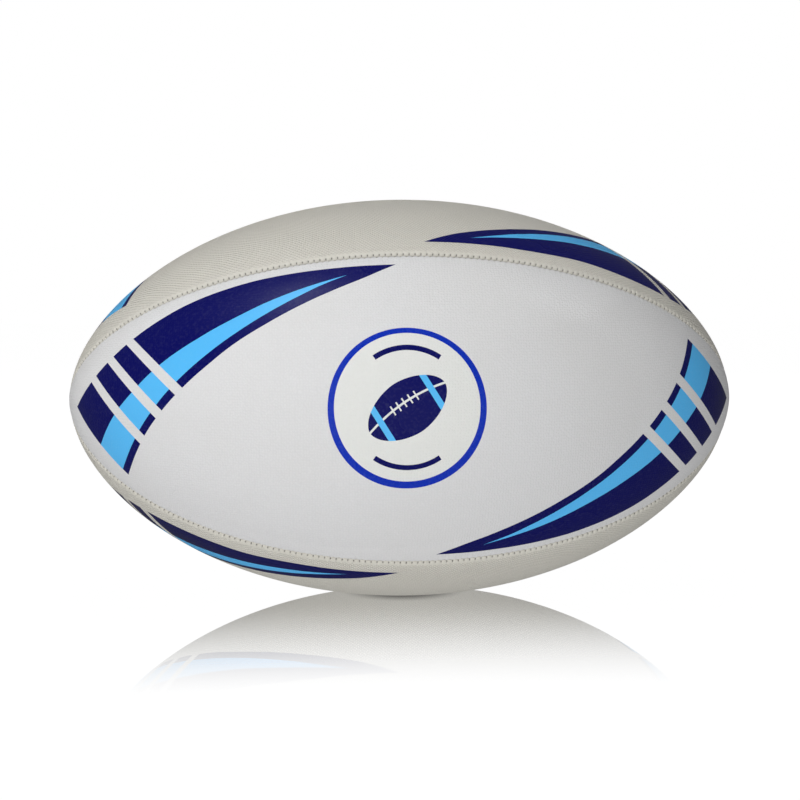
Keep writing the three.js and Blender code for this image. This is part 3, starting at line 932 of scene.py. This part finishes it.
# Metres from here on.
FLOOR_HALF_WIDTH = 6.0
FLOOR_GAP = 0.0001  # below the ball's lowest point
FLOOR_GLOW = 0.98
FLOOR_GLOSS = 0.92  # the mirror's share where it is strongest
GLOSS_REACH = (0.015, 0.155)  # the mirror fades between these distances in front of the ball's middle,
GLOSS_BACK = (0.02, 0.10)  # between these behind it,
GLOSS_WIDTH = (0.14, 0.22)  # and between these to each side of it
CONTACT = (0.030, 0.022)  # half the length and width of the painted contact shadow round the point of contact
CONTACT_SHADE = 0.2  # how much light the painted shadow leaves there
GLOW_BEHIND = 0.23  # the world's light from above and behind, from below, and in the rubber's gloss
GLOW_BELOW = 0.66
GLOW_MIRRORED = 0.12
# Each light is a direction from the ball, a distance, a diameter and a power.
LIGHTS = {
    "key": ((-0.43, -0.44, 0.76), 1.3, 0.7, 5.0),
    "top": ((0, -0.1, 1), 1.2, 1.2, 3.6),
    "front_left": ((-0.45, -1, 0.1), 1.6, 1.0, 8.5),
    "low": ((0, -1, -0.1), 1.4, 0.9, 6.2),
    "back": ((0.3, 1, 0.3), 1.6, 1.0, 7.0),
    "sheen": ((-0.36, -0.40, 0.86), 1.3, 0.3, 2.6),
}


def stage():
    """A pale, glowing floor, with a painted shadow where the ball touches it. Round the ball's foot it is a
    mirror, which fades out into matt.
    """
    size = FLOOR_HALF_WIDTH
    corners = [(-size, -size, 0), (size, -size, 0), (size, size, 0), (-size, size, 0)]
    floor = mesh_object("floor", np.array(corners) / MM, [(0, 1, 2, 3)])
    floor.location.z = cad_low.z - FLOOR_GAP
    n = Nodes("pale_floor")
    n.shader.inputs["Base Color"].default_value = (0.05, 0.05, 0.05, 1)
    n.shader.inputs["Roughness"].default_value = 0.8
    n.shader.inputs["Emission Color"].default_value = (1, 1, 1, 1)
    parts = n.make("ShaderNodeSeparateXYZ", {"Vector": n.object_place()})
    aside, away = parts.outputs[0], parts.outputs[1]
    # A painted contact shadow: the floor's glow and its mirror are darkened round the point of contact.
    squares = [n.math("POWER", n.math("DIVIDE", d, r), 2.0) for d, r in zip((aside, away), CONTACT)]
    contact = n.ramp(n.math("SQRT", n.math("ADD", *squares)), 0.35, 1.0, CONTACT_SHADE, 1.0)
    n.link(n.math("MULTIPLY", contact, FLOOR_GLOW), n.shader.inputs["Emission Strength"])
    mirror = n.make("ShaderNodeBsdfGlossy", {"Color": contact, "Roughness": 0.0})
    gloss = n.both(
        n.ramp(away, -GLOSS_REACH[1], -GLOSS_REACH[0]),
        n.ramp(away, *GLOSS_BACK, 1.0, 0.0),
        n.ramp(n.math("ABSOLUTE", aside), *GLOSS_WIDTH, 1.0, 0.0),
        FLOOR_GLOSS,
    )
    mix = n.make("ShaderNodeMixShader", {0: gloss, 1: n.shader.outputs[0], 2: mirror.outputs[0]})
    output = next(node for node in n.tree.nodes if node.type == "OUTPUT_MATERIAL")
    n.link(mix.outputs[0], output.inputs["Surface"])
    floor.data.materials.append(n.material)
    floor.visible_diffuse = False
    floor.visible_glossy = False


def studio_world():
    """White to look at and in the floor's mirror. As light, a dimmer glow from behind and below."""
    world = bpy.data.worlds.new("studio")
    bpy.context.scene.world = world
    world.use_nodes = True
    tree = world.node_tree
    place = tree.nodes.new("ShaderNodeTexCoord").outputs["Generated"]
    parts = tree.nodes.new("ShaderNodeSeparateXYZ")
    tree.links.new(place, parts.inputs[0])
    ray = tree.nodes.new("ShaderNodeLightPath")

    def calculate(operation, a, b):
        node = tree.nodes.new("ShaderNodeMath")
        node.operation = operation
        for socket, value in zip(node.inputs, (a, b)):
            if isinstance(value, bpy.types.NodeSocket):
                tree.links.new(value, socket)
            else:
                socket.default_value = value
        return node.outputs[0]

    def ramp(value, start, end):
        node = tree.nodes.new("ShaderNodeMapRange")
        node.interpolation_type = "SMOOTHSTEP"
        tree.links.new(value, node.inputs["Value"])
        node.inputs["From Min"].default_value = start
        node.inputs["From Max"].default_value = end
        return node.outputs[0]

    above = ramp(parts.outputs["Z"], -0.02, 0.02)
    below = calculate("SUBTRACT", 1.0, above)
    behind = calculate("MULTIPLY", ramp(parts.outputs["Y"], -0.1, 0.5), above)
    glow = calculate("MULTIPLY_ADD", behind, GLOW_BEHIND)
    tree.links.new(calculate("MULTIPLY", below, GLOW_BELOW), glow.node.inputs[2])
    white = calculate("MAXIMUM", ray.outputs["Is Camera Ray"], ray.outputs["Is Singular Ray"])
    mirrored = calculate("MULTIPLY", ray.outputs["Is Glossy Ray"], GLOW_MIRRORED)
    shown = calculate("MAXIMUM", white, mirrored)
    unseen = calculate("SUBTRACT", 1.0, ray.outputs["Is Glossy Ray"])
    strength = calculate("MAXIMUM", shown, calculate("MULTIPLY", glow, unseen))
    background = tree.nodes["Background"]
    background.inputs["Color"].default_value = (1, 1, 1, 1)
    tree.links.new(strength, background.inputs["Strength"])


def lights():
    """Soft round lights, all pointed at the ball. One makes only its sheen, and the others only light it."""
    for name, (direction, distance, size, power) in LIGHTS.items():
        light = bpy.data.lights.new(name, "AREA")
        light.shape = "DISK"
        light.size = size
        light.energy = power
        lamp = bpy.data.objects.new(name, light)
        bpy.context.scene.collection.objects.link(lamp)
        lamp.location = Vector(direction).normalized() * distance
        lamp.rotation_euler = (-lamp.location).to_track_quat("-Z", "Y").to_euler()
        lamp.visible_glossy = name == "sheen"
        lamp.visible_diffuse = name != "sheen"


def camera():
    """At the photograph's angle: a little above the middle of the ball and to the left."""
    distance = 557.5 * MM
    yaw, roll, tilt = 0.0702, 0.0833, -0.0065
    turn = (
        Matrix.Rotation(tilt, 3, "Y") @ Matrix.Rotation(yaw, 3, "Z") @ Matrix.Rotation(roll, 3, "X")
    )
    view = Matrix(((1, 0, 0), (0, 0, -1), (0, 1, 0))) @ turn  # rows: right, down, forward
    offset = Vector((1.734 * MM, -1.043 * MM, distance))
    data = bpy.data.cameras.new("camera")
    data.sensor_width = 36.0
    data.lens = 55.89
    cam = bpy.data.objects.new("camera", data)
    bpy.context.scene.collection.objects.link(cam)
    right, down, forward = view
    axes = Matrix((right, -down, -forward)).transposed()
    cam.matrix_world = Matrix.Translation(-(view.transposed() @ offset)) @ axes.to_4x4()
    bpy.context.scene.camera = cam


stage()
studio_world()
lights()
camera()
bpy.context.scene.view_settings.view_transform = "Standard"
